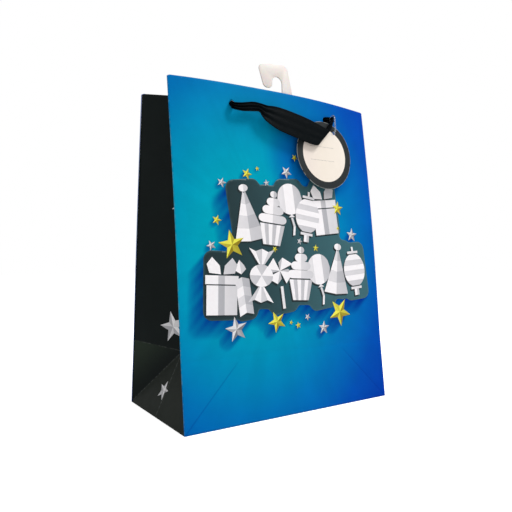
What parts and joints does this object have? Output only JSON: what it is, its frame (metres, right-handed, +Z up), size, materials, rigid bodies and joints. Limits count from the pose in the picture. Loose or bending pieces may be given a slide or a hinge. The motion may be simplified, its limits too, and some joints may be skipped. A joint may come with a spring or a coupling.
{
  "type": "gift bag",
  "caption": "Gusseted paper gift bag with ribbon handles, a round hanging tag and a plastic hang hook; its mouth squeezes shut.",
  "frame": {"origin": "on the floor under the middle of the base", "axes": "+Z up, +X along the width to the right as seen from the front, front panel towards -Y"},
  "size_m": [0.18, 0.1, 0.2624],
  "materials": {
    "front_print": "coated paper, satin print",
    "back_print": "coated paper, satin print",
    "side_print": "coated paper, satin print",
    "grey_card": "uncoated board",
    "black_ribbon": "woven satin ribbon",
    "tag_card": "coated card",
    "clear_nylon": "clear, glossy",
    "frosted_plastic": "frosted, semi-matte"
  },
  "bodies": {
    "root": {"bottom_flap_back": "side_print", "bottom_flap_front": "side_print", "bottom_tuck_left": "side_print", "bottom_tuck_right": "side_print", "base_board": "grey_card"},
    "front_panel": {"front_panel": "front_print", "front_top_card": "grey_card", "front_top_hem": "front_print", "front_left_ribbon_end": "black_ribbon", "front_right_ribbon_end": "black_ribbon", "hang_hook": "frosted_plastic"},
    "back_panel": {"back_panel": "back_print", "back_top_card": "grey_card", "back_top_hem": "back_print", "back_left_ribbon_end": "black_ribbon", "back_right_ribbon_end": "black_ribbon", "side_seam_flap": "side_print"},
    "front_handle": {"front_handle": "black_ribbon"},
    "back_handle": {"back_handle": "black_ribbon"},
    "tag_loop": {"tag_loop": "clear_nylon"},
    "gift_tag": {"gift_tag": "tag_card"},
    "left_gusset_foot": {"left_gusset_foot": "side_print"},
    "right_gusset_foot": {"right_gusset_foot": "side_print"},
    "front_left_gusset": {"front_left_gusset": "side_print", "front_left_gusset_hem": "side_print"},
    "front_right_gusset": {"front_right_gusset": "side_print", "front_right_gusset_hem": "side_print"},
    "back_left_gusset": {"back_left_gusset": "side_print", "back_left_gusset_hem": "side_print"},
    "back_right_gusset": {"back_right_gusset": "side_print", "back_right_gusset_hem": "side_print"}
  },
  "joints": [
    {"name": "front_panel_lean", "type": "hinge", "parent": "root", "child": "front_panel", "pos_m": [0, -0.05, 0], "axis": [-1, 0, 0], "range_deg": [-4, 4]},
    {"name": "back_panel_lean", "type": "hinge", "parent": "root", "child": "back_panel", "pos_m": [0, 0.05, 0], "axis": [1, 0, 0], "range_deg": [-4, 4]},
    {"name": "front_left_gusset_fold", "type": "hinge", "parent": "front_panel", "child": "front_left_gusset", "pos_m": [-0.0898, -0.04911, -0.00009], "axis": [0, -0.1045, -0.9945], "range_deg": [-21, 21]},
    {"name": "front_right_gusset_fold", "type": "hinge", "parent": "front_panel", "child": "front_right_gusset", "pos_m": [0.0898, -0.04911, -0.00009], "axis": [0, 0.1045, 0.9945], "range_deg": [-21, 21]},
    {"name": "back_left_gusset_fold", "type": "hinge", "parent": "back_panel", "child": "back_left_gusset", "pos_m": [-0.0898, 0.04911, -0.00009], "axis": [0, -0.1045, 0.9945], "range_deg": [-21, 21]},
    {"name": "back_right_gusset_fold", "type": "hinge", "parent": "back_panel", "child": "back_right_gusset", "pos_m": [0.0898, 0.04911, -0.00009], "axis": [0, 0.1045, -0.9945], "range_deg": [-21, 21]},
    {"name": "left_foot_tilt", "type": "hinge", "parent": "root", "child": "left_gusset_foot", "pos_m": [-0.0898, 0, 0.0006], "axis": [0, 1, 0], "range_deg": [-9, 9]},
    {"name": "right_foot_tilt", "type": "hinge", "parent": "root", "child": "right_gusset_foot", "pos_m": [0.0898, 0, 0.0006], "axis": [0, -1, 0], "range_deg": [-9, 9]},
    {"name": "front_handle_swing", "type": "hinge", "parent": "front_panel", "child": "front_handle", "pos_m": [0, -0.03641, 0.22431], "axis": [-1, 0, 0], "range_deg": [0, 150]},
    {"name": "back_handle_swing", "type": "hinge", "parent": "back_panel", "child": "back_handle", "pos_m": [0, 0.03371, 0.22403], "axis": [1, 0, 0], "range_deg": [0, 150]},
    {"name": "tag_loop_swing", "type": "hinge", "parent": "front_handle", "child": "tag_loop", "pos_m": [0, -0.03641, 0.22431], "axis": [-1, 0, 0], "range_deg": [-150, 0]},
    {"name": "tag_sway", "type": "hinge", "parent": "tag_loop", "child": "gift_tag", "pos_m": [0.0467, -0.03764, 0.21257], "axis": [0, 0.9945, -0.1045], "range_deg": [-60, 5]}
  ],
  "couplings": [
    {"joint": "back_panel_lean", "follows": "front_panel_lean", "ratio": 1},
    {"joint": "front_left_gusset_fold", "follows": "front_panel_lean", "ratio": 5.2},
    {"joint": "front_right_gusset_fold", "follows": "front_panel_lean", "ratio": 5.2},
    {"joint": "back_left_gusset_fold", "follows": "front_panel_lean", "ratio": 5.2},
    {"joint": "back_right_gusset_fold", "follows": "front_panel_lean", "ratio": 5.2},
    {"joint": "left_foot_tilt", "follows": "front_panel_lean", "ratio": 2.2},
    {"joint": "right_foot_tilt", "follows": "front_panel_lean", "ratio": 2.2},
    {"joint": "tag_loop_swing", "follows": "front_handle_swing", "ratio": -1}
  ]
}
